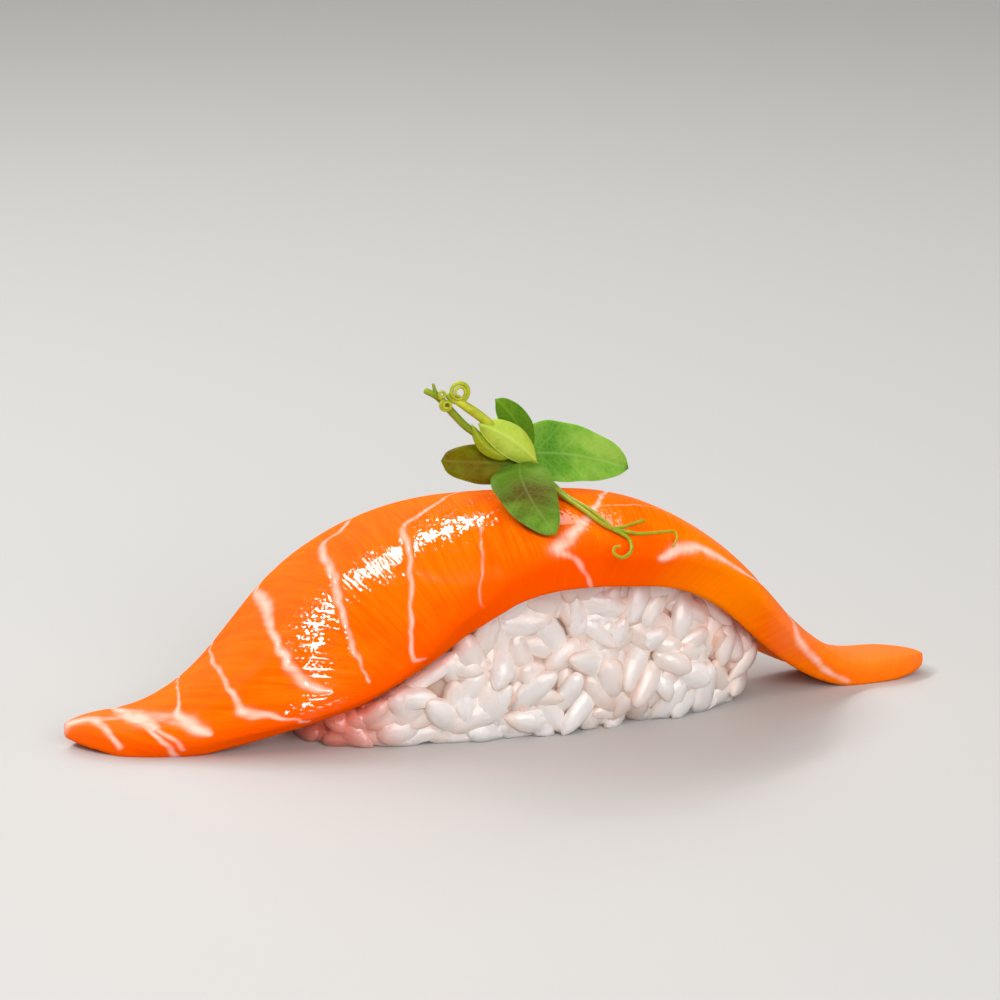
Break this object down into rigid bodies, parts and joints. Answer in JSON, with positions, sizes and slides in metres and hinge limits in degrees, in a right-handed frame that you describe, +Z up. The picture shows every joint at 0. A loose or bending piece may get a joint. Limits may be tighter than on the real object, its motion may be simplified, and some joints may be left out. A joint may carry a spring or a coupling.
{
  "type": "salmon nigiri sushi",
  "caption": "Thick strip of raw salmon draped over a block of pressed sushi rice, its two tails on the table, with a pea shoot on the crest.",
  "frame": {"origin": "on the surface the nigiri stands on, under the middle of its outline", "axes": "+X along the strip of salmon from the left tail to the right tail, +Y to the back, +Z up"},
  "size_m": [0.116, 0.0365, 0.0445],
  "materials": {
    "salmon": "moist and glossy",
    "rice": "moist, slightly translucent",
    "pea_shoot": "satin leaf"
  },
  "bodies": {
    "root": {"salmon": "salmon", "rice": "rice", "pea_shoot": "pea_shoot"}
  },
  "joints": []
}
